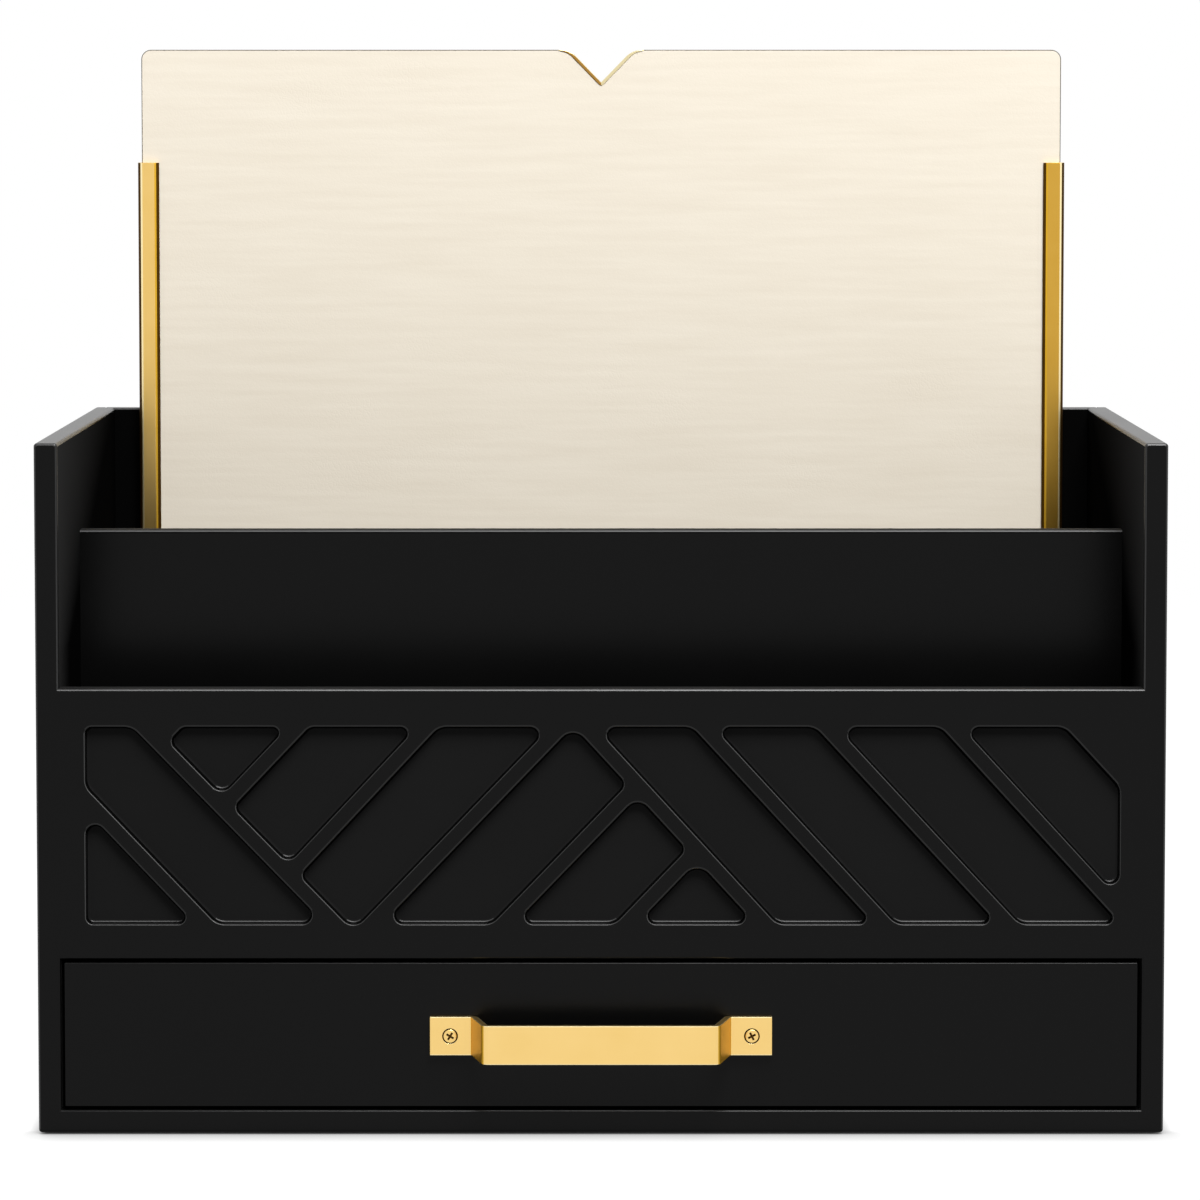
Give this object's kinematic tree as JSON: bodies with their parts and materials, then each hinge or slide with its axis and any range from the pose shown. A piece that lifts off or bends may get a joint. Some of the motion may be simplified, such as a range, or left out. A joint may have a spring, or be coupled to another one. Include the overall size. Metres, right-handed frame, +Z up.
{
  "type": "envelope sorter with drawer",
  "caption": "Lacquered desk sorter with a pen bay and an envelope bay over an inset drawer with a bent-strap handle, and a tall lift-out board between brass channels.",
  "frame": {"origin": "on the desk surface, under the middle of the object's bounding box, handle included", "axes": "+Z up; the front with the drawer faces -Y; +X is to the right as seen from the front"},
  "size_m": [0.336, 0.1974, 0.3251],
  "materials": {
    "lacquer": "satin black lacquer over fibreboard",
    "brass": "satin brass",
    "leatherette": "cream leatherette with a fine grain",
    "pad_rubber": "matt black rubber"
  },
  "bodies": {
    "cabinet": {"left_side_panel": "lacquer", "right_side_panel": "lacquer", "back_panel": "lacquer", "base_panel": "lacquer", "shelf_panel": "lacquer", "divider_panel": "lacquer", "front_panel": "lacquer", "foot_pad_front_left": "pad_rubber", "foot_pad_front_right": "pad_rubber", "foot_pad_back_left": "pad_rubber", "foot_pad_back_right": "pad_rubber", "left_rail": "brass", "right_rail": "brass", "left_rail_screw_lower": "brass", "left_rail_screw_upper": "brass", "right_rail_screw_lower": "brass", "right_rail_screw_upper": "brass"},
    "drawer": {"drawer_front": "lacquer", "drawer_left_side": "lacquer", "drawer_right_side": "lacquer", "drawer_back": "lacquer", "drawer_bottom": "lacquer", "drawer_handle": "brass", "handle_screw_left": "brass", "handle_screw_right": "brass"},
    "tall_board": {"back_board": "leatherette", "notch_trim": "brass"}
  },
  "joints": [
    {"name": "drawer_slide", "type": "slide", "parent": "cabinet", "child": "drawer", "axis": [0, -1, 0], "range_m": [0, 0.125]},
    {"name": "board_lift", "type": "slide", "parent": "cabinet", "child": "tall_board", "axis": [0, 0, 1], "range_m": [0, 0.229]}
  ]
}
